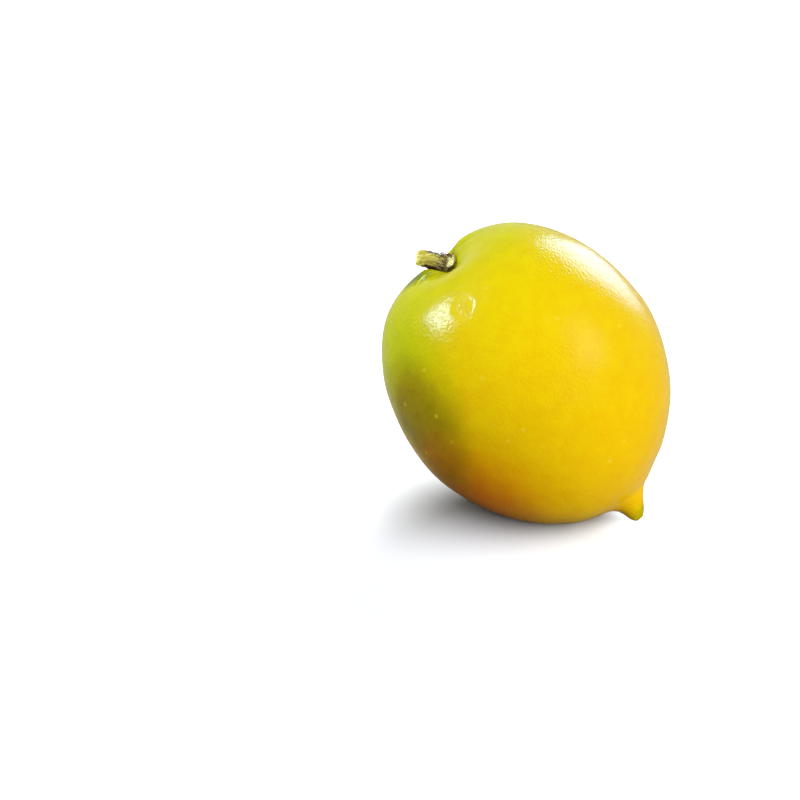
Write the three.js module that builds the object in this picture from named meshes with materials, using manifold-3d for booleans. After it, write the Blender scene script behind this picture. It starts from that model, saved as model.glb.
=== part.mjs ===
// One abiu (Pouteria caimito), ripe and picked. It lies on a small flat spot of its skin, tip down,
// with the cut stub of its stalk and four dried calyx lobes in the dimple at its upper end.
//
// Millimetres, +Z up. The origin is the centre of the flat spot, and +X points along the floor to the tip.
// Each piece is first made in the fruit's own frame and then laid down. In that frame the origin is the
// foot of the stem, +Y runs down the fruit's axis to the tip, +X is its upper side and +Z is its left side.
// A turn is an angle round the axis, in degrees, from the upper side towards the left side.

import * as THREE from 'three';
import { mergeVertices } from 'three/addons/utils/BufferGeometryUtils.js';
import Module from 'manifold-3d';

// How the fruit lies.
const axisDip = 46.4; // degrees from the floor's plane down to the axis
const stemFoot = new THREE.Vector3(-30.5, 0.3, 62);

// Half section of the fruit. A fullness is the length of a Bezier handle: how far the outline runs
// straight on from a point before it bends away. A slope is in degrees from the axis.
const bodyRadius = 36;
const equatorAt = 36.9; // along the axis, where the body is widest
const aboveEquatorFullness = 25.4;
const belowEquatorFullness = 12.4;

// Dimple round the stem, with a furrow that runs out of it on one side.
const dimpleFloor = 0.8; // below the stem's foot
const dimpleFloorFullness = 5;
const rimRadius = 7;
const rimHeight = 3.8; // above the stem's foot
const insideRimFullness = 3;
const outsideRimFullness = 14.3;
const furrowTurn = -47;
const furrowDepth = 6;
const furrowFade = 31; // radius at which it has died out
const farRimDrop = 1; // opposite the furrow
const leanRimDrop = 0.9;
const rimFade = 24; // radius at which the rim's other ups and downs have died out

// Pointed tip, which leans a little to one side.
const tipRoot = { radius: 7, at: 76.35, slope: 72, fullnessBefore: 20.8, fullnessAfter: 2.3 };
const tipFlank = { radius: 2.9, at: 80.6, slope: 24, fullnessBefore: 2.1, fullnessAfter: 1.8 };
const tipEndAt = 83.4;
const tipEndFullness = 1.3;
const leanTurn = -142;
const tipLean = 9; // degrees
const bellySag = { by: 0.4, from: 60, to: 70 }; // towards the lean, along the lower body
const tipSetBack = { by: 2.1, from: 73, to: 78.5 }; // away from the lean, at the tip's root
const endTilt = { share: 0.03, from: 9, to: 18 }; // lower on the leaning side, round the tip

// Slow unevenness of the round body, as a share of its radius.
const ovalShare = 0.004;
const threeSidedShare = 0.003;
const threeSidedTurn = -19; // where it swells most

// Stem stub. It starts straight up from its foot and then leans out.
const stemLength = 8.8;
const stemRadius = 2.1;
const stemReach = 5; // how far its cut end leans out from the axis
const stemRise = 6.8; // how far its cut end stands above its foot
const stemStraightShare = 0.25;
const stemElbow = { reachShare: 0.5, riseShare: 0.63 };
const stemSwells = [
  { share: 0, swell: 0.4 }, // flared foot
  { share: 0.4, swell: -0.1 }, // slight waist
  { share: 0.7, swell: 0.05 },
  { share: 0.94, swell: 0 },
];
const cutEdgeSwell = -0.5;

// Calyx.
const sepalGap = 0.3;
const sepalThickness = 0.6;
const sepalWidth = 4.4;
const sepalTaper = 0.35; // share of the width that is lost by the tip
const sepalStart = 2.8; // from the axis
const sepals = [
  { turn: -104, reach: 6.9, curl: 0.3, rise: 0.3 },
  { turn: -33, reach: 7.1, curl: 0, rise: 2.3 }, // it hangs down over the furrow
  { turn: 112, reach: 4.5, curl: 0.4, rise: 0.3 },
  { turn: 176, reach: 5.9, curl: 0.5, rise: 0.3 },
];

const skin = new THREE.MeshStandardMaterial({ color: 0xf0cd08, roughness: 0.35, metalness: 0 });
const bark = new THREE.MeshStandardMaterial({ color: 0xb7a52a, roughness: 0.8, metalness: 0 });
const husk = new THREE.MeshStandardMaterial({ color: 0x3c2018, roughness: 0.9, metalness: 0 });

const radians = THREE.MathUtils.degToRad;
const smoothstep = THREE.MathUtils.smoothstep;

function onOutline(radius, along) {
  return new THREE.Vector2(radius, along);
}

function slopeStep(slope, length) {
  return onOutline(-Math.sin(radians(slope)) * length, Math.cos(radians(slope)) * length);
}

function handleBefore(corner, { slope, fullnessBefore }) {
  return corner.clone().sub(slopeStep(slope, fullnessBefore));
}

function handleAfter(corner, { slope, fullnessAfter }) {
  return corner.clone().add(slopeStep(slope, fullnessAfter));
}

// Half section of the fruit from the dimple's floor to the tip, as (radius, distance along the axis).
function fruitOutline() {
  const floor = onOutline(0, dimpleFloor);
  const rim = onOutline(rimRadius, -rimHeight);
  const equator = onOutline(bodyRadius, equatorAt);
  const root = onOutline(tipRoot.radius, tipRoot.at);
  const flank = onOutline(tipFlank.radius, tipFlank.at);
  const end = onOutline(0, tipEndAt);
  const handles = [
    [onOutline(dimpleFloorFullness, dimpleFloor), onOutline(rimRadius - insideRimFullness, -rimHeight)],
    [
      onOutline(rimRadius + outsideRimFullness, -rimHeight),
      onOutline(bodyRadius, equatorAt - aboveEquatorFullness),
    ],
    [onOutline(bodyRadius, equatorAt + belowEquatorFullness), handleBefore(root, tipRoot)],
    [handleAfter(root, tipRoot), handleBefore(flank, tipFlank)],
    [handleAfter(flank, tipFlank), onOutline(tipEndFullness, tipEndAt)],
  ];
  const corners = [floor, rim, equator, root, flank, end];
  const steps = [8, 15, 14, 4, 4];
  const points = handles.flatMap(([first, second], i) => {
    const stretch = new THREE.CubicBezierCurve(corners[i], first, second, corners[i + 1]);
    return stretch.getPoints(steps[i]).slice(0, -1);
  });
  return [...points, end];
}

// How far the shoulder is pushed down at this place: most in the furrow, less on two other sides.
function rimDrop(radius, turn) {
  const towardsFurrow = Math.cos(turn - radians(furrowTurn));
  const towardsLean = Math.max(0, Math.cos(turn - radians(leanTurn)));
  const [depth, fade] = towardsFurrow > 0 ? [furrowDepth, furrowFade] : [farRimDrop, rimFade];
  const nearRim = (end) => smoothstep(radius, 0, rimRadius) * (1 - smoothstep(radius, rimRadius, end));
  return depth * towardsFurrow ** 4 * nearRim(fade) + leanRimDrop * towardsLean ** 2 * nearRim(rimFade);
}

// How far the skin round the tip is pushed down at this place: most towards the lean, and up opposite.
function endDrop(radius, turn) {
  const nearTip = 1 - smoothstep(radius, endTilt.from, endTilt.to);
  return endTilt.share * radius * Math.cos(turn - radians(leanTurn)) * nearTip;
}

// Shift of the fruit's middle line towards the lean: the belly sags, the tip's root is set back and the
// tip leans.
function middleShift(along) {
  const sag = bellySag.by * smoothstep(along, bellySag.from, bellySag.to);
  const setBack = tipSetBack.by * smoothstep(along, tipSetBack.from, tipSetBack.to);
  const lean = Math.tan(radians(tipLean)) * Math.max(0, along - tipRoot.at);
  return sag - setBack + lean;
}

// Moves a point of the plain round body to its place on the uneven fruit.
function makeUneven(point) {
  const turn = Math.atan2(point.z, point.x);
  const radius = Math.hypot(point.x, point.z);
  const along = point.y;
  const oval = ovalShare * Math.cos(2 * turn);
  const threeSided = threeSidedShare * Math.cos(3 * (turn - radians(threeSidedTurn)));
  const swell = 1 + oval + threeSided;
  const shift = middleShift(along);
  point.x = radius * swell * Math.cos(turn) + shift * Math.cos(radians(leanTurn));
  point.z = radius * swell * Math.sin(turn) + shift * Math.sin(radians(leanTurn));
  point.y += along < equatorAt ? rimDrop(radius, turn) : endDrop(radius, turn);
}

function moveVertices(geometry, move) {
  const places = geometry.getAttribute('position');
  const point = new THREE.Vector3();
  for (let i = 0; i < places.count; i += 1) {
    point.fromBufferAttribute(places, i);
    move(point);
    places.setXYZ(i, point.x, point.y, point.z);
  }
}

// Turns the fruit's own frame into the part's frame.
function layDown() {
  const dip = radians(axisDip);
  const upperSide = new THREE.Vector3(Math.sin(dip), 0, Math.cos(dip));
  const axis = new THREE.Vector3(Math.cos(dip), 0, -Math.sin(dip));
  const leftSide = new THREE.Vector3(0, 1, 0);
  return new THREE.Matrix4().makeBasis(upperSide, axis, leftSide).setPosition(stemFoot);
}

// Keeps positions alone, joins the shared vertices and drops the triangles that a pole leaves without area.
function weld(geometry) {
  geometry.deleteAttribute('normal');
  geometry.deleteAttribute('uv');
  const nearby = 1e-5;
  const welded = mergeVertices(geometry, nearby);
  const corners = welded.getIndex().array;
  const kept = [];
  for (let i = 0; i < corners.length; i += 3) {
    const [a, b, c] = corners.slice(i, i + 3);
    if (a !== b && b !== c && c !== a) kept.push(a, b, c);
  }
  welded.setIndex(kept);
  return welded;
}

function toSolid(wasm, geometry) {
  const welded = weld(geometry);
  const vertProperties = new Float32Array(welded.getAttribute('position').array);
  const triVerts = new Uint32Array(welded.getIndex().array);
  return new wasm.Manifold(new wasm.Mesh({ numProp: 3, vertProperties, triVerts }));
}

function toGeometry(solid) {
  const { numProp, vertProperties, triVerts } = solid.getMesh();
  const geometry = new THREE.BufferGeometry();
  geometry.setAttribute('position', new THREE.BufferAttribute(vertProperties, numProp));
  geometry.setIndex(new THREE.BufferAttribute(triVerts, 1));
  geometry.computeVertexNormals();
  return geometry;
}

function nameMesh(name, geometry, material) {
  const mesh = new THREE.Mesh(geometry, material);
  mesh.name = name;
  return mesh;
}

// The whole fruit is one grown piece. What would lie below the floor is cut away, and leaves the flat spot.
function makeFruit(wasm) {
  const body = new THREE.LatheGeometry(fruitOutline(), 64);
  moveVertices(body, makeUneven);
  body.applyMatrix4(layDown());
  const floorWidth = 4 * bodyRadius;
  const floorDepth = bodyRadius;
  const floor = new THREE.BoxGeometry(floorWidth, floorWidth, floorDepth).translate(0, 0, -floorDepth / 2);
  const lying = toSolid(wasm, body).subtract(toSolid(wasm, floor));
  return nameMesh('fruit', toGeometry(lying), skin);
}

// Stub of the stalk: a knobby round stick, bent over along a curve and cut off blunt.
function makeStem() {
  const swells = stemSwells.map(({ share, swell }) => onOutline(stemRadius + swell, stemLength * share));
  const side = new THREE.SplineCurve(swells).getPoints(10);
  const cutEdge = onOutline(stemRadius + cutEdgeSwell, stemLength);
  const outline = [onOutline(0, 0), ...side, cutEdge, onOutline(0, stemLength)];
  const stem = new THREE.LatheGeometry(outline, 16);
  const out = new THREE.Vector3(Math.cos(radians(leanTurn)), 0, Math.sin(radians(leanTurn)));
  const up = new THREE.Vector3(0, -1, 0);
  const place = (reach, rise) => out.clone().multiplyScalar(reach).addScaledVector(up, rise);
  const middleLine = new THREE.CubicBezierCurve3(
    place(0, 0),
    place(0, stemRise * stemStraightShare),
    place(stemReach * stemElbow.reachShare, stemRise * stemElbow.riseShare),
    place(stemReach, stemRise),
  );
  const sideways = new THREE.Vector3().crossVectors(out, up);
  moveVertices(stem, (point) => {
    const share = Math.min(1, point.y / stemLength);
    const across = new THREE.Vector3().crossVectors(sideways, middleLine.getTangentAt(share));
    const { x, z } = point;
    point.copy(middleLine.getPointAt(share)).addScaledVector(sideways, x).addScaledVector(across, z);
  });
  stem.applyMatrix4(layDown());
  return nameMesh('stem', stem, bark);
}

// Height of the dimple's skin along the axis, at this radius and turn.
function skinAlong(radius, turn) {
  const outline = fruitOutline();
  const outer = outline.findIndex((place) => place.x >= radius);
  const [a, b] = [outline[outer - 1], outline[outer]];
  const share = (radius - a.x) / (b.x - a.x);
  return a.y + (b.y - a.y) * share + rimDrop(radius, turn);
}

// Calyx lobe: a thin pointed scale that lies on the dimple's skin, foot at the stem and tip outwards.
// Its tip is lifted off the skin by the curl, and its foot by the rise.
function makeSepal(name, { turn, reach, curl, rise }) {
  const lobe = new THREE.SphereGeometry(1, 14, 10);
  const length = reach - sepalStart;
  moveVertices(lobe, (point) => {
    const share = (point.x + 1) / 2;
    const radius = sepalStart + length * share;
    const sideways = point.z * (sepalWidth / 2) * (1 - sepalTaper * share);
    const lobeTurn = radians(turn) - sideways / radius;
    const bend = curl * share ** 2 + rise * (1 - share) ** 2;
    const lift = sepalGap + (sepalThickness / 2) * (1 + point.y) + bend;
    const along = skinAlong(radius, lobeTurn) - lift;
    point.set(radius * Math.cos(lobeTurn), along, radius * Math.sin(lobeTurn));
  });
  lobe.applyMatrix4(layDown());
  return nameMesh(name, lobe, husk);
}

const wasm = await Module();
wasm.setup();

const abiu = new THREE.Group();
abiu.add(makeFruit(wasm));
abiu.add(makeStem());
sepals.forEach((sepal, i) => abiu.add(makeSepal(`sepal_${i + 1}`, sepal)));

export default abiu;
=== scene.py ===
import math

import bpy
import numpy as np
from mathutils import Matrix, Vector, noise


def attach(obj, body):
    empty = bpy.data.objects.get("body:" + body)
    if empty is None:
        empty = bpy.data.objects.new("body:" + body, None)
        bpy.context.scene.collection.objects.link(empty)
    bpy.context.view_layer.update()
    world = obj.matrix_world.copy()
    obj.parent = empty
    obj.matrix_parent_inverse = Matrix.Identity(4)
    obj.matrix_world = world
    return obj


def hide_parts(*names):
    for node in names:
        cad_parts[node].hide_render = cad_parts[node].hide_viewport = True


# One ripe abiu, dressed for its picture. Shapes are worked out in millimetres in the fruit's own frame and
# become metres in the part's frame when a mesh is made. The own frame has its origin at the foot of the
# stem: X is the fruit's upper side, Y runs down its axis to the tip and Z is its left side. A turn is an
# angle round that axis, from the upper side towards the left side. It is in degrees in the values below,
# and in radians where it is worked with.

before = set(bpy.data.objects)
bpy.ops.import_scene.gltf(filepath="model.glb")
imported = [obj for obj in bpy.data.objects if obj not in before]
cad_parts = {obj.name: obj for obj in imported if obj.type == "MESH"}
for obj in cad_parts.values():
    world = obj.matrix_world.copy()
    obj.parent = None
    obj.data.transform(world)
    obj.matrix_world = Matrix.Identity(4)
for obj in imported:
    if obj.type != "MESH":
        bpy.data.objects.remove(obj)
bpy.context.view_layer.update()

MM = 0.001

# How the fruit lies.
AXIS_DIP = 46.4
STEM_FOOT = (-30.5, 0.3, 62)

# Half section of the fruit. A fullness is the length of a Bezier handle: how far the outline runs straight
# on from a point before it bends away. A slope is in degrees from the axis.
BODY_RADIUS = 36
EQUATOR_AT = 36.9
ABOVE_EQUATOR_FULLNESS = 25.4
BELOW_EQUATOR_FULLNESS = 12.4
DIMPLE_FLOOR = 0.8
DIMPLE_FLOOR_FULLNESS = 5
RIM_RADIUS = 7
RIM_HEIGHT = 3.8
INSIDE_RIM_FULLNESS = 3
OUTSIDE_RIM_FULLNESS = 14.3
OUTLINE_ROWS = {"dimple": 30, "upper": 84, "lower": 92, "tip": 20, "tip_end": 18}
SKIN_SIDES = 384

# Furrow that runs out of the dimple, and the rim's other ups and downs. A fade is the radius where it ends.
FURROW_TURN = -47
FURROW_DEPTH = 6
FURROW_FADE = 31
FAR_RIM_DROP = 1
LEAN_RIM_DROP = 0.9
RIM_FADE = 24

# Pointed tip, which leans to one side. What has a "from" and a "to" comes in between those two distances
# along the axis, and the end's tilt dies out between those two radii.
TIP_ROOT = {"radius": 7, "at": 76.35, "slope": 72, "before": 20.8, "after": 2.3}
TIP_FLANK = {"radius": 2.9, "at": 80.6, "slope": 24, "before": 2.1, "after": 1.8}
TIP_END_AT = 83.4
TIP_END_FULLNESS = 1.3
LEAN_TURN = -142
TIP_LEAN = 9
BELLY_SAG = {"by": 0.4, "from": 60, "to": 70}
TIP_SET_BACK = {"by": 2.1, "from": 73, "to": 78.5}
END_TILT = {"share": 0.03, "from": 9, "to": 18}

# Slow unevenness of the round body, as a share of its radius.
OVAL_SHARE = 0.004
THREE_SIDED_SHARE = 0.003
THREE_SIDED_TURN = -19

# Relief of the skin. The hills are sunk by a share of their height, to keep inside the solid. The ridge
# fades in and out over its ends.
SKIN_HILLS = [{"size": 11, "height": 0.16}, {"size": 3.6, "height": 0.02}]
HILLS_SINK = 0.6
DENT = {"middle": (16.1, 11.9, -25.2), "floor": 2.2, "reach": 3.9, "depth": 0.24}
PUCKERS = {"count": 9, "depth": 0.3, "from": 5.5, "deepest": 8.5, "to": 19}
PUCKER_WANDER = {"size": 7, "by": 1.2}
RIDGE = {"turn": -88, "from": 9.6, "to": 16.6, "ends": 2, "height": 0.3, "width": 0.36}
TIP_SCAR = {"reach": 0.9, "depth": 0.35}

# Stem stub. It starts straight up from its foot and then leans out. A swell is added to its radius at that
# share of its length.
STEM_LENGTH = 8.8
STEM_RADIUS = 2.1
STEM_SWELLS = {"shares": [0, 0.12, 0.4, 0.7, 0.94, 1], "swells": [0.4, 0.3, -0.1, 0.05, 0.0, -0.45]}
STEM_REACH = 5
STEM_RISE = 6.8
STEM_STRAIGHT_SHARE = 0.25
STEM_ELBOW = {"reach_share": 0.5, "rise_share": 0.63}

# Bark and cut of the stub. Fibres are lumps made long by a squash along the stem. The cut is dished between
# a floor and an edge, which are shares of its radius, and has a share of the bark's bumps.
BARK_LUMPS = {"size": 2.6, "height": 0.42}
BARK_KNOBS = {"size": 1.1, "height": 0.2}
BARK_FIBRES = {"size": 0.6, "height": 0.3, "squash": 0.2}
BARK_AT_FOOT = {"share": 0.3, "to": 0.1}
CUT_DISH = {"depth": 0.5, "floor": 0.55, "edge": 0.95, "bumps": 0.5}

# Calyx. A curl lifts the tip of a lobe, a rise its foot and a cup its edges, and pale is how much of its
# middle is cream. Ragged shares say how far its end and its edges wander.
SEPAL_GAP = 0.3
SEPAL_LEAST_GAP = 0.05
SEPAL_THICKNESS = 0.6
SEPAL_THINNING = 0.45
SEPAL_WIDTH = 4.6
SEPAL_START = 2.6
SEPALS = {
    "sepal_1": {"turn": -104, "reach": 6.9, "curl": 0.3, "rise": 0.3, "cup": 0.3, "seed": 1, "pale": 0.0},
    "sepal_2": {"turn": -33, "reach": 7.1, "curl": 0.0, "rise": 2.3, "cup": 0.2, "seed": 2, "pale": 1.0},
    "sepal_3": {"turn": 112, "reach": 4.5, "curl": 0.4, "rise": 0.3, "cup": 0.3, "seed": 3, "pale": 0.1},
    "sepal_4": {"turn": 176, "reach": 5.9, "curl": 0.5, "rise": 0.3, "cup": 0.5, "seed": 4, "pale": 0.2},
}
SEPAL_RAGGED = {"end": 0.08, "edge": 0.35}
SEPAL_CRUMPLES = [{"size": 1.7, "height": 0.5}, {"size": 0.6, "height": 0.16}]
SEPAL_CRUMPLE_LIFT = 0.25
SEPAL_VEINS = {"across": 14, "height": 0.05, "wander": 2, "wander_size": 2}

# Bristles. A share is of the stem's length and a radius is round the stem. The foot's spread is in degrees
# to each side of the lobe's middle, and the tip's drift is in radians.
HAIRS_ON_A_SEPAL = 30
PALE_HAIR_EVERY = 3
HAIR_FOOT = {"spread": 58, "share": (0.03, 0.12), "radius": (2.5, 3.1)}
HAIR_TIP = {"drift": 0.4, "share": (0.2, 0.6), "radius": (2.4, 3.4)}
HAIR_BEND = 0.35
HAIR_RADIUS = (0.09, 0.18)
HAIR_THINNING = 0.85
HAIR_GRAIN = {"dark": -2, "pale": -3}


# ---------------------------------------------------------------- shape helpers

def smoothstep(x, low, high):
    share = np.clip((x - low) / (high - low), 0, 1)
    return share * share * (3 - 2 * share)


def inside(x, low, high):
    """Fades from 1 below the low end to 0 above the high end."""
    return 1 - smoothstep(x, low, high)


def bell(x, width):
    return np.exp(-(x / width) ** 2)


def bezier(corners, shares):
    a, b, c, d = (np.array(corner, float) for corner in corners)
    t = shares[:, None]
    return (1 - t) ** 3 * a + 3 * (1 - t) ** 2 * t * b + 3 * (1 - t) * t**2 * c + t**3 * d


def slope_step(slope, length):
    angle = math.radians(slope)
    return np.array([-math.sin(angle) * length, math.cos(angle) * length])


def direction_across(turn):
    """Unit vector square to the axis, at this turn in degrees."""
    return np.array([math.cos(math.radians(turn)), 0, math.sin(math.radians(turn))])


def round_angles(sides):
    return np.arange(sides) / sides * 2 * math.pi


def lay_down():
    """Turns the fruit's own frame, in millimetres, into the part's frame, in metres."""
    dip = math.radians(AXIS_DIP)
    upper_side = (math.sin(dip), 0, math.cos(dip))
    axis = (math.cos(dip), 0, -math.sin(dip))
    left_side = (0, 1, 0)
    turned = Matrix((upper_side, axis, left_side)).transposed().to_4x4()
    return Matrix.Scale(MM, 4) @ Matrix.Translation(STEM_FOOT) @ turned


def grid_faces(rows, sides):
    """Faces of a closed skin: a first pole, rows of points that go once round, and a last pole. They face
    out if the rows go round clockwise, seen from the first pole."""
    faces = []
    first, last = 0, 1 + rows * sides
    for side in range(sides):
        after = (side + 1) % sides
        faces.append((first, first + 1 + after, first + 1 + side))
        for row in range(rows - 1):
            here, below = first + 1 + row * sides, first + 1 + (row + 1) * sides
            faces.append((here + side, here + after, below + after, below + side))
        end = first + 1 + (rows - 1) * sides
        faces.append((last, end + side, end + after))
    return faces


def closed_skin(first_pole, rings, last_pole):
    """Points and faces of a closed skin through rings of points, given as an array of rings x sides x 3."""
    rows, sides = rings.shape[:2]
    points = np.vstack([[first_pole], rings.reshape(-1, 3), [last_pole]])
    return points, grid_faces(rows, sides)


def join_skins(skins):
    points, faces, start = [], [], 0
    for skin_points, skin_faces in skins:
        points.append(skin_points)
        faces.extend(tuple(corner + start for corner in face) for face in skin_faces)
        start += len(skin_points)
    return np.vstack(points), faces


def make_piece(name, own_points, faces, **marks):
    """Makes a smooth mesh from points in the own frame. It keeps them as the attribute "own", and each
    mark, a row of three numbers for each point, as an attribute of that name."""
    points = np.asarray(own_points, float)
    laid = lay_down()
    turn, shift = np.array(laid.to_3x3()), np.array(laid.translation)
    mesh = bpy.data.meshes.new(name)
    mesh.from_pydata((points @ turn.T + shift).tolist(), [], faces)
    mesh.polygons.foreach_set("use_smooth", [True] * len(mesh.polygons))
    for mark, values in {"own": points, **marks}.items():
        attribute = mesh.attributes.new(mark, "FLOAT_VECTOR", "POINT")
        attribute.data.foreach_set("vector", np.asarray(values, np.float32).ravel())
    piece = bpy.data.objects.new(name, mesh)
    bpy.context.scene.collection.objects.link(piece)
    return piece


def hills(points, size, seed):
    """Soft random hills between about -1 and 1, of this size in millimetres."""
    offset = Vector((seed * 17.3, seed * 5.1, seed * 9.7))
    flat = np.asarray(points, float).reshape(-1, 3) / size
    heights = np.array([noise.noise(Vector(point) + offset) for point in flat])
    return heights.reshape(np.shape(points)[:-1])


# ---------------------------------------------------------------- the fruit

def fruit_outline():
    """Half section from the dimple's floor to the tip, as rows of (radius, distance along the axis)."""
    floor, rim = (0, DIMPLE_FLOOR), (RIM_RADIUS, -RIM_HEIGHT)
    equator, end = (BODY_RADIUS, EQUATOR_AT), (0, TIP_END_AT)
    root, flank = (TIP_ROOT["radius"], TIP_ROOT["at"]), (TIP_FLANK["radius"], TIP_FLANK["at"])
    after_floor = (DIMPLE_FLOOR_FULLNESS, DIMPLE_FLOOR)
    before_rim = (RIM_RADIUS - INSIDE_RIM_FULLNESS, -RIM_HEIGHT)
    after_rim = (RIM_RADIUS + OUTSIDE_RIM_FULLNESS, -RIM_HEIGHT)
    before_equator = (BODY_RADIUS, EQUATOR_AT - ABOVE_EQUATOR_FULLNESS)
    after_equator = (BODY_RADIUS, EQUATOR_AT + BELOW_EQUATOR_FULLNESS)
    before_root = root - slope_step(TIP_ROOT["slope"], TIP_ROOT["before"])
    after_root = root + slope_step(TIP_ROOT["slope"], TIP_ROOT["after"])
    before_flank = flank - slope_step(TIP_FLANK["slope"], TIP_FLANK["before"])
    after_flank = flank + slope_step(TIP_FLANK["slope"], TIP_FLANK["after"])
    before_end = (TIP_END_FULLNESS, TIP_END_AT)
    stretches = {
        "dimple": (floor, after_floor, before_rim, rim),
        "upper": (rim, after_rim, before_equator, equator),
        "lower": (equator, after_equator, before_root, root),
        "tip": (root, after_root, before_flank, flank),
        "tip_end": (flank, after_flank, before_end, end),
    }
    rows = []
    for stretch, corners in stretches.items():
        count = OUTLINE_ROWS[stretch]
        rows.append(bezier(corners, np.arange(count) / count))
    return np.vstack([*rows, [end]])


def rim_drop(radius, turn):
    """How far the shoulder is pushed down at this place: most in the furrow, less on two other sides."""
    towards_furrow = np.cos(turn - math.radians(FURROW_TURN))
    towards_lean = np.maximum(0, np.cos(turn - math.radians(LEAN_TURN)))
    depth = np.where(towards_furrow > 0, FURROW_DEPTH, FAR_RIM_DROP)
    fade = np.where(towards_furrow > 0, FURROW_FADE, RIM_FADE)
    drop = depth * towards_furrow**4 * inside(radius, RIM_RADIUS, fade)
    lean_drop = LEAN_RIM_DROP * towards_lean**2 * inside(radius, RIM_RADIUS, RIM_FADE)
    return smoothstep(radius, 0, RIM_RADIUS) * (drop + lean_drop)


def end_drop(radius, turn):
    """How far the skin round the tip is pushed down: most towards the lean, and up on the other side."""
    towards_lean = np.cos(turn - math.radians(LEAN_TURN))
    return END_TILT["share"] * radius * towards_lean * inside(radius, END_TILT["from"], END_TILT["to"])


def middle_shift(along):
    """Shift of the middle line towards the lean: the belly sags, the tip's root is set back and the tip
    leans."""
    sag = BELLY_SAG["by"] * smoothstep(along, BELLY_SAG["from"], BELLY_SAG["to"])
    set_back = TIP_SET_BACK["by"] * smoothstep(along, TIP_SET_BACK["from"], TIP_SET_BACK["to"])
    lean = math.tan(math.radians(TIP_LEAN)) * np.maximum(0, along - TIP_ROOT["at"])
    return sag - set_back + lean


def uneven(radius, along, turn):
    """Place on the uneven fruit of a point of the plain round body, as rows of x, y, z."""
    three_sided = np.cos(3 * (turn - math.radians(THREE_SIDED_TURN)))
    swell = 1 + OVAL_SHARE * np.cos(2 * turn) + THREE_SIDED_SHARE * three_sided
    x = radius * swell * np.cos(turn)
    y = along + np.where(along < EQUATOR_AT, rim_drop(radius, turn), end_drop(radius, turn))
    z = radius * swell * np.sin(turn)
    shift = np.asarray(middle_shift(along))[..., None]
    return np.stack(np.broadcast_arrays(x, y, z), axis=-1) + shift * direction_across(LEAN_TURN)


def hill_relief(own):
    waves = enumerate(SKIN_HILLS)
    return sum(hill["height"] * (hills(own, hill["size"], seed) - HILLS_SINK) for seed, hill in waves)


def dent_relief(own):
    far = np.linalg.norm(own - np.array(DENT["middle"]), axis=1)
    return -DENT["depth"] * inside(far, DENT["floor"], DENT["reach"])


def pucker_relief(own, radius, turn):
    """Folds that run down into the dimple and wander a little sideways."""
    wander = PUCKER_WANDER["by"] * hills(own, PUCKER_WANDER["size"], 5)
    folds = (0.5 + 0.5 * np.cos(PUCKERS["count"] * turn + wander)) ** 4
    near_stem = smoothstep(radius, PUCKERS["from"], PUCKERS["deepest"])
    near_stem = near_stem * inside(radius, PUCKERS["deepest"], PUCKERS["to"])
    return -PUCKERS["depth"] * folds * near_stem


def ridge_relief(radius, turn):
    """One ridge between two creases."""
    width = RIDGE["width"]
    beside = radius * (turn - math.radians(RIDGE["turn"]))
    along_ridge = smoothstep(radius, RIDGE["from"], RIDGE["from"] + RIDGE["ends"])
    along_ridge = along_ridge * inside(radius, RIDGE["to"] - RIDGE["ends"], RIDGE["to"])
    creases = bell(beside - 2 * width, width) + bell(beside + 2 * width, width)
    return RIDGE["height"] * (bell(beside, width) - creases) * along_ridge


def scar_relief(own):
    far = np.linalg.norm(own - uneven(0, TIP_END_AT, 0), axis=1)
    return -TIP_SCAR["depth"] * inside(far, 0, TIP_SCAR["reach"])


def skin_relief(own):
    """Height in millimetres of the skin's relief at these points."""
    x, y, z = own.T
    radius, turn = np.hypot(x, z), np.arctan2(z, x)
    round_stem = (pucker_relief(own, radius, turn) + ridge_relief(radius, turn)) * (y < EQUATOR_AT)
    return hill_relief(own) + dent_relief(own) + round_stem + scar_relief(own)


def make_fruit():
    outline = fruit_outline()
    inner = outline[1:-1]
    rings = uneven(inner[:, :1], inner[:, 1:], -round_angles(SKIN_SIDES)[None, :])
    points, faces = closed_skin(uneven(*outline[0], 0), rings, uneven(*outline[-1], 0))
    fruit = make_piece("abiu_skin", points, faces)
    raise_skin(fruit, skin_relief(points))
    return fruit


def raise_skin(fruit, heights):
    """Moves the skin out by these heights. What would lie below the floor is pressed flat on it."""
    mesh = fruit.data
    normals = np.empty(len(mesh.vertices) * 3, np.float32)
    places = np.empty_like(normals)
    mesh.vertex_normals.foreach_get("vector", normals)
    mesh.vertices.foreach_get("co", places)
    places = places.reshape(-1, 3) + normals.reshape(-1, 3) * heights[:, None] * MM
    places[:, 2] = np.maximum(places[:, 2], 0)
    mesh.vertices.foreach_set("co", places.astype(np.float32).ravel())
    mesh.update()


# ---------------------------------------------------------------- stem and calyx

def skin_along(radius, turn):
    """Height of the dimple's skin along the axis at this radius and turn."""
    dimple = fruit_outline()[:OUTLINE_ROWS["dimple"] + 1]
    return np.interp(radius, dimple[:, 0], dimple[:, 1]) + rim_drop(radius, turn)


def stem_directions():
    """Directions in which the stem leans out from the axis, goes up and goes sideways."""
    out, up = direction_across(LEAN_TURN), np.array([0, -1, 0])
    return out, up, np.cross(out, up)


def stem_middle(shares):
    """Middle line of the stem, its direction, and the direction across it, on the inside of its bend."""
    out, up, sideways = stem_directions()
    elbow = out * STEM_REACH * STEM_ELBOW["reach_share"] + up * STEM_RISE * STEM_ELBOW["rise_share"]
    corners = [0 * out, up * STEM_RISE * STEM_STRAIGHT_SHARE, elbow, out * STEM_REACH + up * STEM_RISE]
    nearby = 0.001
    middle = bezier(corners, shares)
    ahead = bezier(corners, shares + nearby) - bezier(corners, shares - nearby)
    ahead /= np.linalg.norm(ahead, axis=1)[:, None]
    return middle, ahead, np.cross(sideways, ahead)


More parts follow.
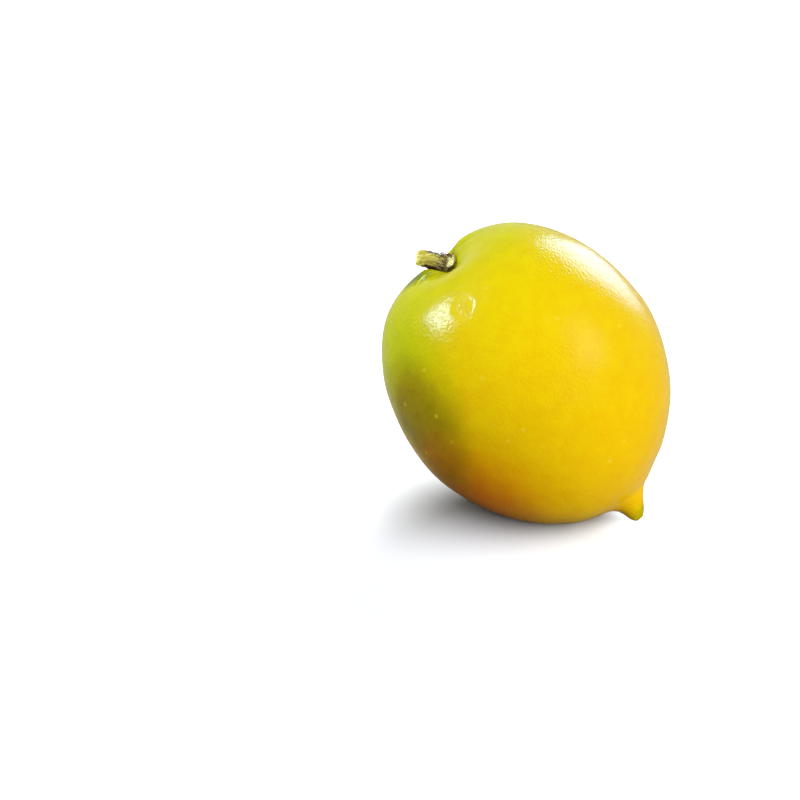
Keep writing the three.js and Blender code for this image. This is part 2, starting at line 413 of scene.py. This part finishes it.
def bark_relief(plain, fibre, shares):
    """Height of the bark's lumps and fibres, which are lower at the foot."""
    bumps = BARK_LUMPS["height"] * hills(plain, BARK_LUMPS["size"], 1)
    bumps = bumps + BARK_KNOBS["height"] * hills(plain, BARK_KNOBS["size"], 2)
    bumps = bumps + BARK_FIBRES["height"] * hills(fibre, BARK_FIBRES["size"], 3)
    at_foot = BARK_AT_FOOT["share"]
    return bumps * (at_foot + (1 - at_foot) * smoothstep(shares, 0, BARK_AT_FOOT["to"])[:, None])


def make_stem():
    """Stub of the stalk: side rows from foot to cut, then cap rows that close the dished cut. Its grain is
    the place across it, as a share of its radius, and the length up to there."""
    side_rows, cap_rows, sides = 110, 14, 96
    shares = np.concatenate([np.linspace(0, 1, side_rows), np.ones(cap_rows)])
    cap_edge, cap_middle = 0.96, 0.06
    inwards = np.concatenate([np.ones(side_rows), np.linspace(cap_edge, cap_middle, cap_rows)])[:, None]
    on_cut = (shares == 1)[:, None]
    middle, ahead, across = stem_middle(shares)
    dish = CUT_DISH["depth"] * inside(inwards, CUT_DISH["floor"], CUT_DISH["edge"])
    middle = middle - ahead * dish * on_cut * (inwards < 1)
    radii = STEM_RADIUS + np.interp(shares, STEM_SWELLS["shares"], STEM_SWELLS["swells"])[:, None]

    turns = -round_angles(sides)
    length = STEM_LENGTH * shares[:, None]
    cosines, sines, length = np.broadcast_arrays(np.cos(turns), np.sin(turns), length)
    ring = cosines[..., None] * stem_directions()[2] + sines[..., None] * across[:, None, :]
    plain = middle[:, None, :] + ring * (radii * inwards)[..., None]
    squashed = length * BARK_FIBRES["squash"]
    fibre = np.stack([STEM_RADIUS * cosines, STEM_RADIUS * sines, squashed], axis=-1)
    outwards = ring * inwards[..., None] ** 2 + CUT_DISH["bumps"] * ahead[:, None, :] * on_cut[..., None]
    bumpy = plain + outwards * bark_relief(plain, fibre, shares)[..., None]
    points, faces = closed_skin(middle[0], bumpy, bumpy[-1].mean(axis=0))
    grain = np.stack([cosines * inwards, sines * inwards, length], axis=-1).reshape(-1, 3)
    grain = np.vstack([[0, 0, 0], grain, [0, 0, STEM_LENGTH]])
    return make_piece("stem_stub", points, faces, grain=grain)


def sepal_skin(shape):
    """Calyx lobe: a thin pointed scale, foot at the stem and tip outwards, with ragged curled edges.
    Its grain is the share of its length, the share of its half width and the side, -1 lower to 1 upper."""
    seed = shape["seed"]
    rows, sides = 64, 88
    pole_angles = np.linspace(math.pi, 0, rows + 2)[1:-1, None]
    turns = -round_angles(sides)[None, :]
    share, across, side = np.broadcast_arrays((np.cos(pole_angles) + 1) / 2, np.sin(turns), np.cos(turns))

    end_wave = hills(across[..., None] * [3, 0, 0], 1, seed)
    edge_wave = hills(np.stack([share * 7, np.sign(across) * 3, 0 * share], axis=-1), 1, seed)
    pointed = share**0.3 * np.clip(1 - share**2.4, 0, 1) ** 0.75
    ragged_end = 1 + SEPAL_RAGGED["end"] * end_wave
    ragged_edge = 1 + SEPAL_RAGGED["edge"] * edge_wave * np.abs(across)
    radius = SEPAL_START + (shape["reach"] - SEPAL_START) * share * ragged_end
    sideways = across * SEPAL_WIDTH / 2 * pointed * ragged_edge
    lobe_turn = math.radians(shape["turn"]) + sideways / radius

    flat = np.stack([radius, sideways, 0 * share], axis=-1)
    crumple = SEPAL_CRUMPLE_LIFT
    for number, wave in enumerate(SEPAL_CRUMPLES, start=1):
        crumple = crumple + wave["height"] * hills(flat, wave["size"], seed + 10 * number)
    wander = SEPAL_VEINS["wander"] * hills(flat, SEPAL_VEINS["wander_size"], seed + 30)
    veins = SEPAL_VEINS["height"] * np.cos(across * SEPAL_VEINS["across"] + wander)
    thickness = SEPAL_THICKNESS * (1 - SEPAL_THINNING * share)
    bend = shape["curl"] * share**2 + shape["rise"] * (1 - share) ** 2 + shape["cup"] * across**2 * share
    lift = SEPAL_GAP + thickness / 2 * (1 + side * np.sin(pole_angles) ** 0.5) + bend
    lift = lift + crumple * smoothstep(share, 0, 0.6) + veins * (side > 0)
    along = skin_along(radius, lobe_turn) - np.maximum(lift, SEPAL_LEAST_GAP)

    rings = np.stack([radius * np.cos(lobe_turn), along, radius * np.sin(lobe_turn)], axis=-1)
    points, faces = closed_skin(rings[0].mean(axis=0), rings, rings[-1].mean(axis=0))
    grain = np.stack([share, across, side], axis=-1).reshape(-1, 3)
    return points, faces, np.vstack([[0, 0, 0], grain, [1, 0, 0]])


def hair_skin(foot, tip, bend, radius):
    """One bristle, bent sideways and thin at its end."""
    rows, sides = 7, 6
    aside = [0.3, 0.2, 0.9]  # not the way that any bristle runs
    shares = np.linspace(0, 1, rows)
    ahead = tip - foot
    middle = bezier([foot, foot + ahead * 0.3 + bend, foot + ahead * 0.7 + bend, tip], shares)
    first = np.cross(ahead, aside)
    first /= np.linalg.norm(first)
    second = np.cross(ahead / np.linalg.norm(ahead), first)
    turns = round_angles(sides)
    ring = np.cos(turns)[:, None] * first + np.sin(turns)[:, None] * second
    radii = radius * (1 - HAIR_THINNING * shares)
    rings = middle[:, None, :] + ring[None] * radii[:, None, None]
    return closed_skin(middle[0], rings, middle[-1])


def beside_stem(share, turn, radius):
    """Place beside the stem at this share of its length, on the side that faces this turn."""
    middle, _, across = (row[0] for row in stem_middle(np.array([share])))
    off = turn - math.radians(LEAN_TURN)
    return middle - (math.sin(off) * stem_directions()[2] + math.cos(off) * across) * radius


def sepal_hairs(turn, seed):
    """Brown bristles that stand on a lobe's foot and lie along the stem."""
    draw = np.random.default_rng(seed)
    hairs = []
    for _ in range(HAIRS_ON_A_SEPAL):
        foot_turn = math.radians(turn + draw.uniform(-HAIR_FOOT["spread"], HAIR_FOOT["spread"]))
        foot = beside_stem(draw.uniform(*HAIR_FOOT["share"]), foot_turn, draw.uniform(*HAIR_FOOT["radius"]))
        tip_turn = foot_turn + draw.uniform(-HAIR_TIP["drift"], HAIR_TIP["drift"])
        tip = beside_stem(draw.uniform(*HAIR_TIP["share"]), tip_turn, draw.uniform(*HAIR_TIP["radius"]))
        bend = draw.uniform(-HAIR_BEND, HAIR_BEND, 3)
        hairs.append(hair_skin(foot, tip, bend, draw.uniform(*HAIR_RADIUS)))
    return hairs


def make_sepal(name, shape):
    points, faces, grain = sepal_skin(shape)
    hairs = sepal_hairs(shape["turn"], shape["seed"])
    grains = [grain]
    for number, (hair_points, _) in enumerate(hairs):
        kind = "dark" if number % PALE_HAIR_EVERY else "pale"
        grains.append(np.tile([0, 0, HAIR_GRAIN[kind]], (len(hair_points), 1)))
    all_points, all_faces = join_skins([(points, faces), *hairs])
    return make_piece(name, all_points, all_faces, grain=np.vstack(grains))


# ---------------------------------------------------------------- materials

def srgb(red, green, blue):
    """A colour written as 0 to 255, as the linear RGBA that a shader socket holds."""
    def linear(value):
        value /= 255
        return value / 12.92 if value <= 0.04045 else ((value + 0.055) / 1.055) ** 2.4
    return (linear(red), linear(green), linear(blue), 1)


class Shading:
    """The nodes of a material or a world, and short ways to add them. Their inputs are given by name or
    number."""

    def __init__(self, owner):
        owner.use_nodes = True
        self.owner = owner
        self.tree = owner.node_tree
        self.tree.nodes.clear()

    def add(self, kind, inputs=None, **settings):
        node = self.tree.nodes.new("ShaderNode" + kind)
        for key, value in settings.items():
            setattr(node, key, value)
        for key, value in (inputs or {}).items():
            socket = self.socket(node, key)
            if isinstance(value, bpy.types.NodeSocket):
                self.tree.links.new(value, socket)
            else:
                socket.default_value = value
        return node

    def socket(self, node, key):
        """The enabled input of this name or number: a Mix node has several of one name."""
        if isinstance(key, int):
            return node.inputs[key]
        return next(socket for socket in node.inputs if socket.name == key and socket.enabled)

    def mark(self, name):
        return self.add("Attribute", attribute_name=name).outputs["Vector"]

    def own_point(self):
        """The point in the fruit's own frame, in millimetres."""
        return self.mark("own")

    def part(self, vector, axis):
        return self.add("SeparateXYZ", {"Vector": vector}).outputs[axis]

    def math(self, operation, first, second=0.0):
        return self.add("Math", {0: first, 1: second}, operation=operation).outputs[0]

    def vector(self, operation, first, second):
        key = "Scale" if operation == "SCALE" else 1
        return self.add("VectorMath", {0: first, key: second}, operation=operation).outputs["Vector"]

    def noise(self, point, size, detail=0, roughness=0.5, output="Fac"):
        """Soft noise from 0 to 1 whose hills are about this many millimetres apart."""
        inputs = {"Vector": point, "Scale": 1 / size, "Detail": detail, "Roughness": roughness}
        return self.add("TexNoise", inputs).outputs[output]

    def ease(self, value, low, high, kind="SMOOTHSTEP"):
        """Goes from 0 to 1 as the value goes from low to high."""
        inputs = {"Value": value, "From Min": low, "From Max": high}
        return self.add("MapRange", inputs, interpolation_type=kind).outputs["Result"]

    def range(self, value, low, high):
        """Goes from low to high as the value goes from 0 to 1."""
        return self.add("MapRange", {"Value": value, "To Min": low, "To Max": high}).outputs["Result"]

    def mix(self, share, first, second, kind="MIX"):
        inputs = {"Factor": share, "A": first, "B": second}
        return self.add("Mix", inputs, data_type="RGBA", blend_type=kind).outputs["Result"]

    def patch(self, colour, place, middle, reach, paint):
        """Paints a round patch: solid within the first reach of its middle and gone at the second."""
        far = self.add("VectorMath", {0: place, 1: middle}, operation="DISTANCE").outputs["Value"]
        return self.mix(self.ease(far, *reach), srgb(*paint), colour)

    def ramp(self, share, stops):
        """Colour that runs through these (position, colour) stops as the share goes from 0 to 1."""
        node = self.add("ValToRGB", {"Fac": share})
        elements = node.color_ramp.elements
        while len(elements) < len(stops):
            elements.new(0.5)
        for element, (position, colour) in zip(elements, stops):
            element.position = position
            element.color = colour
        return node.outputs["Color"]

    def bump(self, height, distance):
        """Normal of a surface that rises by this height times the distance, in millimetres."""
        return self.add("Bump", {"Distance": distance * MM, "Height": height}).outputs["Normal"]

    def finish(self, surface):
        kind = "OutputWorld" if isinstance(self.owner, bpy.types.World) else "OutputMaterial"
        self.add(kind, {"Surface": surface})
        return self.owner


def new_material(name):
    return Shading(bpy.data.materials.new(name))


# The skin's colours along the axis, from just above the rim of the dimple to the tip, as shares of that
# length.
SKIN_COLOURS_START = -4
SKIN_COLOURS = [
    (0.00, (206, 211, 5)),
    (0.06, (219, 218, 4)),
    (0.14, (231, 214, 4)),
    (0.24, (240, 213, 4)),
    (0.40, (246, 209, 4)),
    (0.60, (244, 202, 4)),
    (0.85, (246, 197, 4)),
    (0.93, (250, 198, 4)),
    (0.98, (205, 175, 12)),
]

# Soft patches of another colour, some of them wholly or partly painted shade: the middle in the own frame,
# the two reaches and the colour. The first five and the colours above wander by up to half of "by", in
# millimetres.
PATCH_WANDER = {"size": 14, "by": 9.0}
SKIN_PATCHES = {
    "green_cheek": ((-10, 12, -27), (6, 27), (206, 217, 6)),
    # orange underside: partly ripe colour, partly painted shade that deepens the shaded underside to orange
    "orange_blush_and_painted_shade": ((-16, 54, -28), (0, 28), (255, 143, 3)),
    # painted shadow: dark olive on the lower left side
    "painted_shade_olive_side": ((-13, 27, -38), (8, 22), (172, 154, 4)),
    # brown on the lower left edge: partly skin colour, partly painted shade
    "brown_and_painted_shade_below_olive": ((-14, 41, -34), (2, 14), (208, 142, 6)),
    "orange_far_side": ((-22, 46, 20), (0, 27), (246, 160, 6)),
}
SHADE_BESIDE_STEM = ((-3, -1, -10.5), (1.5, 6.5), (112, 138, 6))
OLIVE_DIMPLE = ((0, 0, 0), (3, 9), (196, 190, 10))
# orange lower flank of the tip: partly its own colour, partly painted shade
ORANGE_TIP_FLANK_AND_PAINTED_SHADE = ((-3.4, 79.2, -2.6), (0.5, 4.6), (214, 142, 8))
OLIVE_TIP_END = ((3, 83, 0.4), (0.6, 3.4), (176, 172, 8))
SCAR_REACH = (0.4, 1.1)
SCAR_COLOUR = (96, 76, 14)
# painted highlight: a lime streak along the crest of the ridge
RIDGE_PAINTED_HIGHLIGHT = {"middle": 0.1, "edge": 0.5, "start": (9, 10.5), "end": (17, 15), "near_stem": (10, 5)}

# Lighter and darker mottling all over the skin.
MOTTLE = {"size": 4, "share": 0.16, "dark": (150, 120, 20), "light": (255, 246, 120)}

# Pale specks, partly lenticels under the skin and partly painted glints, and the skin's fine relief in
# millimetres. The middle and edge of a speck or pore are shares of how far they are apart. The relief is
# stronger on the upper side.
PALE_SPECKS_AND_GLINTS = {"apart": 4.5, "middle": 0.04, "edge": 0.19, "strength": 0.6}
PORES = {"apart": 0.9, "depth": 0.03, "middle": 0.05, "edge": 0.34}
GRAIN = {"size": 0.8, "height": 0.095}
UPPER_SIDE = {"from": 18, "to": 30, "below": 0.95, "above": 1.25}


def skin_material():
    """Yellow skin: green round the stem, golden towards the tip, with a green cheek, orange and brown
    undersides that are partly painted shade, and painted shade of dark olive on the lower left side."""
    s = new_material("skin")
    own = s.own_point()
    drift = s.noise(own, size=PATCH_WANDER["size"], detail=2, output="Color")
    drift = s.vector("SUBTRACT", drift, (0.5, 0.5, 0.5))
    place = s.vector("ADD", own, s.vector("SCALE", drift, PATCH_WANDER["by"]))

    along = s.ease(s.part(place, "Y"), SKIN_COLOURS_START, TIP_END_AT, kind="LINEAR")
    colour = s.ramp(along, [(share, srgb(*paint)) for share, paint in SKIN_COLOURS])
    for patch in SKIN_PATCHES.values():
        colour = s.patch(colour, place, *patch)
    colour = paint_stem_end(s, colour, own)
    colour = paint_tip(s, colour, own)

    mottle = s.noise(own, size=MOTTLE["size"], detail=4, roughness=0.6)
    mottle = s.ramp(mottle, [(0.35, srgb(*MOTTLE["dark"])), (0.65, srgb(*MOTTLE["light"]))])
    colour = s.mix(MOTTLE["share"], colour, mottle, "SOFT_LIGHT")
    # pale specks: partly lenticels, partly painted glints
    speck_and_glint_cells = s.add("TexVoronoi", {"Vector": own, "Scale": 1 / PALE_SPECKS_AND_GLINTS["apart"]}, feature="F1")
    dot = s.ease(speck_and_glint_cells.outputs["Distance"], PALE_SPECKS_AND_GLINTS["edge"], PALE_SPECKS_AND_GLINTS["middle"])
    own_strength = s.ease(s.part(speck_and_glint_cells.outputs["Color"], "X"), 0.4, 0.95)
    dot = s.math("MULTIPLY", dot, own_strength)
    colour = s.mix(s.math("MULTIPLY", dot, PALE_SPECKS_AND_GLINTS["strength"]), colour, srgb(255, 224, 64))

    pores = s.add("TexVoronoi", {"Vector": own, "Scale": 1 / PORES["apart"]}, feature="F1")
    pores = s.ease(pores.outputs["Distance"], PORES["middle"], PORES["edge"])
    pores = s.math("MULTIPLY", pores, PORES["depth"])
    grain = s.math("MULTIPLY", s.noise(own, size=GRAIN["size"], detail=1), GRAIN["height"])
    height = s.math("ADD", pores, grain)
    upper = s.ease(s.part(own, "X"), UPPER_SIDE["from"], UPPER_SIDE["to"])
    height = s.math("MULTIPLY", height, s.range(upper, UPPER_SIDE["below"], UPPER_SIDE["above"]))
    shader = s.add("BsdfPrincipled", {
        "Base Color": colour,
        "Roughness": s.range(s.noise(own, size=6, detail=2), 0.12, 0.22),
        "Specular IOR Level": 0.05,
        "Normal": s.bump(height, 1),
    })
    return s.finish(shader.outputs["BSDF"])


def paint_stem_end(s, colour, own):
    """Painted shade, darker green, in the puckers beside the stem, and a painted highlight, a lime
    streak, along the ridge.
    """
    colour = s.patch(colour, own, *SHADE_BESIDE_STEM)
    colour = s.patch(colour, own, *OLIVE_DIMPLE)
    x, z = s.part(own, "X"), s.part(own, "Z")
    turn = s.math("ARCTAN2", z, x)
    off = s.math("ABSOLUTE", s.math("SUBTRACT", turn, math.radians(RIDGE["turn"])))
    radius = s.math("SQRT", s.math("ADD", s.math("MULTIPLY", x, x), s.math("MULTIPLY", z, z)))
    narrow = s.ease(s.math("MULTIPLY", off, radius), RIDGE_PAINTED_HIGHLIGHT["edge"], RIDGE_PAINTED_HIGHLIGHT["middle"])
    there = s.math("MULTIPLY", s.ease(radius, *RIDGE_PAINTED_HIGHLIGHT["start"]), s.ease(radius, *RIDGE_PAINTED_HIGHLIGHT["end"]))
    there = s.math("MULTIPLY", there, s.ease(s.part(own, "Y"), *RIDGE_PAINTED_HIGHLIGHT["near_stem"]))
    # painted highlight along the ridge
    return s.mix(s.math("MULTIPLY", narrow, there), colour, srgb(236, 250, 70))


def paint_tip(s, colour, own):
    """Olive end of the tip, brown where its style broke off, and an orange lower flank that is partly
    painted shade.
    """
    colour = s.patch(colour, own, *ORANGE_TIP_FLANK_AND_PAINTED_SHADE)
    colour = s.patch(colour, own, *OLIVE_TIP_END)
    end = tuple(float(value) for value in uneven(0, TIP_END_AT, 0))
    return s.patch(colour, own, end, SCAR_REACH, SCAR_COLOUR)


def stalk_material():
    """Olive bark with cream fibres and brown flecks, browner towards the calyx, and painted shade on top.
    """
    s = new_material("stalk")
    own, grain = s.own_point(), s.mark("grain")
    fibres = s.noise(s.vector("MULTIPLY", grain, (4.2, 4.2, 0.8)), size=1.0, detail=5, roughness=0.65)
    colour = s.ramp(fibres, [
        (0.26, srgb(140, 112, 26)),
        (0.36, srgb(214, 198, 56)),
        (0.48, srgb(242, 228, 86)),
        (0.62, srgb(252, 244, 140)),
        (0.75, srgb(255, 252, 206)),
    ])
    flecks = s.noise(own, size=0.8, detail=3, roughness=0.7)
    length = s.part(grain, "Z")
    near_foot = s.ease(length, 5.5, 0.8)
    fleck = s.ease(s.math("ADD", flecks, s.math("MULTIPLY", near_foot, 0.12)), 0.58, 0.66)
    colour = s.mix(s.math("MULTIPLY", fleck, 0.85), colour, srgb(84, 54, 14))
    # painted shade: dark olive along the top side of the stem's middle part
    painted_shade_on_top = s.ease(s.math("ADD", s.part(grain, "Y"), s.math("MULTIPLY", flecks, 0.9)), 0.95, 1.25)
    middle_part = s.math("MULTIPLY", s.ease(length, 2, 3.2), s.ease(length, 7.4, 6))
    colour = s.mix(s.math("MULTIPLY", painted_shade_on_top, middle_part), colour, srgb(86, 70, 8))
    shader = s.add("BsdfPrincipled", {
        "Base Color": colour,
        "Roughness": s.range(fibres, 0.9, 0.6),
        "Specular IOR Level": 0.3,
        "Normal": s.bump(s.math("ADD", fibres, s.math("MULTIPLY", flecks, 0.5)), 0.15),
    })
    return s.finish(shader.outputs["BSDF"])


def husk_material(name, pale):
    """Dried calyx: dark brown and grey-brown. A pale lobe keeps a cream middle in a dark margin, and some
    bristles are pale."""
    s = new_material(name)
    own, grain = s.own_point(), s.mark("grain")
    blotches = s.noise(own, size=0.9, detail=4, roughness=0.65)
    colour = s.ramp(blotches, [
        (0.36, srgb(40, 19, 5)),
        (0.50, srgb(84, 52, 26)),
        (0.60, srgb(150, 112, 76)),
        (0.68, srgb(214, 184, 148)),
    ])
    veins = s.noise(s.vector("MULTIPLY", grain, (1.4, 5, 0)), size=1.0, detail=3)
    cream = s.ramp(s.math("ADD", s.math("MULTIPLY", veins, 0.7), s.math("MULTIPLY", blotches, 0.3)), [
        (0.40, srgb(150, 146, 70)),
        (0.50, srgb(222, 220, 132)),
        (0.58, srgb(252, 252, 196)),
    ])
    ragged = s.math("MULTIPLY", s.math("SUBTRACT", blotches, 0.5), 0.8)
    from_middle = s.math("ADD", s.math("ABSOLUTE", s.part(grain, "Y")), ragged)
    along = s.math("ADD", s.part(grain, "X"), ragged)
    middle = s.math("MULTIPLY", s.ease(from_middle, 0.86, 0.62), s.ease(along, 0.94, 0.78))
    middle = s.math("MULTIPLY", middle, s.ease(s.part(grain, "Z"), -1.6, -1.2))
    colour = s.mix(s.math("MULTIPLY", middle, pale), colour, cream)
    pale_hair = s.ease(s.part(grain, "Z"), -2.2, -2.8)
    colour = s.mix(pale_hair, colour, srgb(226, 206, 138))
    shader = s.add("BsdfPrincipled", {
        "Base Color": colour,
        "Roughness": 0.85,
        "Specular IOR Level": 0.25,
        "Normal": s.bump(s.math("ADD", blotches, veins), 0.15),
    })
    return s.finish(shader.outputs["BSDF"])


# ---------------------------------------------------------------- pieces

def dress(piece, node, material):
    """Gives a piece its material, hangs it on the root body and hides the solid of the model that it stands
    for.
    """
    piece.data.materials.append(material)
    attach(piece, "root")
    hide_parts(node)
    return piece


abiu = [
    dress(make_fruit(), "fruit", skin_material()),
    dress(make_stem(), "stem", stalk_material()),
]
for node, shape in SEPALS.items():
    husk = husk_material("husk_" + node, shape["pale"])
    abiu.append(dress(make_sepal("calyx_" + node, shape), node, husk))


# ---------------------------------------------------------------- camera, floor and light, in metres

CAMERA_AZIMUTH = 29.4
CAMERA_ELEVATION = 25
CAMERA_DISTANCE = 0.9
FRAME_WIDTH = 0.2089  # across the picture, at the fruit
LOOK_LEFT = 2.46  # degrees that the camera looks past the fruit, which stands right of the middle
LOOK_DOWN = 0.36
FRUIT_MIDDLE = Vector((0, 0, 36.7 * MM))
FLOOR_SIZE = 6
SKY_LIGHT = 0.2
FLOOR_BOUNCE = (0.072, 0.072, 0.072, 1)
FLOOR_MIRRORED = (0.18, 0.18, 0.18, 1)
FLOOR_SEEN = (0.61, 0.63, 0.66, 1)  # slightly blue, against the yellow glow of the fruit
SKY_BLUE = (0.35, 0.6, 1)
PALE_BLUE = (0.6, 0.8, 1)


def direction(azimuth, elevation):
    """Unit vector towards a place seen at this azimuth and elevation: azimuth 0 is in front, 90 at +X."""
    a, e = math.radians(azimuth), math.radians(elevation)
    return Vector((math.sin(a) * math.cos(e), -math.cos(a) * math.cos(e), math.sin(e)))


def make_camera():
    data = bpy.data.cameras.new("camera")
    data.lens = data.sensor_width * CAMERA_DISTANCE / FRAME_WIDTH
    camera = bpy.data.objects.new("camera", data)
    bpy.context.scene.collection.objects.link(camera)
    bpy.context.scene.camera = camera
    back = direction(CAMERA_AZIMUTH, CAMERA_ELEVATION)
    camera.location = FRUIT_MIDDLE + back * CAMERA_DISTANCE
    aimed = (-back).to_track_quat("-Z", "Y").to_matrix().to_4x4()
    look_left = Matrix.Rotation(math.radians(LOOK_LEFT), 4, "Y")
    look_down = Matrix.Rotation(math.radians(-LOOK_DOWN), 4, "X")
    camera.rotation_euler = (aimed @ look_left @ look_down).to_euler()


def add_lamp(data, azimuth, elevation):
    """Puts a lamp in the scene that shines from this direction, whose azimuth is counted from the camera's,
    to the right. Returns the lamp and the direction back to it."""
    lamp = bpy.data.objects.new(data.name, data)
    bpy.context.scene.collection.objects.link(lamp)
    back = direction(CAMERA_AZIMUTH + azimuth, elevation)
    lamp.rotation_euler = (-back).to_track_quat("-Z", "Y").to_euler()
    return lamp, back


def light_only(lamp, things):
    """Lets a lamp light these things and nothing else."""
    lit = bpy.data.collections.new("lit_by_" + lamp.name)
    for thing in things:
        lit.objects.link(thing)
    lamp.light_linking.receiver_collection = lit


def make_floor_light(name, floor, azimuth, elevation, spread, level):
    """Wide even light on the floor alone, which places the fruit's shadow."""
    data = bpy.data.lights.new(name, "SUN")
    data.angle = math.radians(spread)
    data.energy = level * math.pi
    lamp, _ = add_lamp(data, azimuth, elevation)
    light_only(lamp, [floor])


def make_panel(name, azimuth, elevation, distance, size, level, shows_in, lit=abiu, colour=(1, 1, 1)):
    """A soft panel that faces the fruit and lights it alone, or some of its pieces. Its level is how bright
    it makes a white surface that faces it, where 1 is white. It shows in diffuse light or as a gloss."""
    data = bpy.data.lights.new(name, "AREA")
    data.shape = "RECTANGLE"
    data.size, data.size_y = size
    data.energy = level * math.pi**2 * distance**2
    data.color = colour
    panel, back = add_lamp(data, azimuth, elevation)
    panel.location = FRUIT_MIDDLE + back * distance
    panel.visible_camera = False
    panel.visible_diffuse = shows_in == "diffuse"
    panel.visible_glossy = shows_in == "gloss"
    light_only(panel, lit)


def shows_background(s):
    """Two numbers that are 1 for the rays that show the surroundings: those in a reflection or through
    glass, and those straight to the camera."""
    rays = s.add("LightPath")
    mirrored = s.math("MAXIMUM", rays.outputs["Is Glossy Ray"], rays.outputs["Is Transmission Ray"])
    return mirrored, rays.outputs["Is Camera Ray"]


def make_floor():
    """White where it is seen, and dark in the light that it throws back on the fruit."""
    bpy.ops.mesh.primitive_plane_add(size=FLOOR_SIZE, location=(0, 0, 0))
    floor = bpy.context.object
    floor.name = "floor"
    s = new_material("floor")
    mirrored, seen = shows_background(s)
    colour = s.mix(mirrored, FLOOR_BOUNCE, FLOOR_MIRRORED)
    colour = s.mix(seen, colour, FLOOR_SEEN)
    shader = s.add("BsdfDiffuse", {"Color": colour})
    floor.data.materials.append(s.finish(shader.outputs["BSDF"]))
    return floor


def make_world():
    """White where it is seen, and a soft even light on the fruit."""
    world = bpy.data.worlds.new("world")
    bpy.context.scene.world = world
    s = Shading(world)
    strength = s.range(s.math("MAXIMUM", *shows_background(s)), SKY_LIGHT, 1.0)
    background = s.add("Background", {"Color": (1, 1, 1, 1), "Strength": strength})
    s.finish(background.outputs["Background"])


make_camera()
make_world()
floor = make_floor()

# Azimuth, elevation, spread and level.
make_floor_light("floor_front", floor, 45, 40, 70, 2.2)
make_floor_light("floor_back", floor, 150, 30, 40, 3.4)

# Azimuth, elevation, distance, size and level.
make_panel("key", 42, 14, 0.8, (0.6, 0.5), 0.92, "diffuse")
make_panel("left", -98, 44, 0.8, (0.7, 0.7), 0.84, "diffuse")
make_panel("back", 150, 20, 0.8, (0.6, 0.5), 0.4, "diffuse")
make_panel("low_left", -80, 6, 0.8, (0.4, 0.4), 0.5, "diffuse", lit=abiu[1:])
make_panel("window_gloss", -88, 33, 0.6, (0.26, 0.2), 4.8, "gloss", colour=PALE_BLUE)
make_panel("back_gloss", 151, 27, 0.8, (0.38, 0.43), 1.95, "gloss", colour=SKY_BLUE)
make_panel("low_back_gloss", 152, 6, 0.8, (0.36, 0.168), 0.28, "gloss", colour=SKY_BLUE)
make_panel("key_gloss", 62, 37, 0.6, (0.3, 0.3), 0.8, "gloss")

bpy.context.scene.view_settings.view_transform = "Standard"
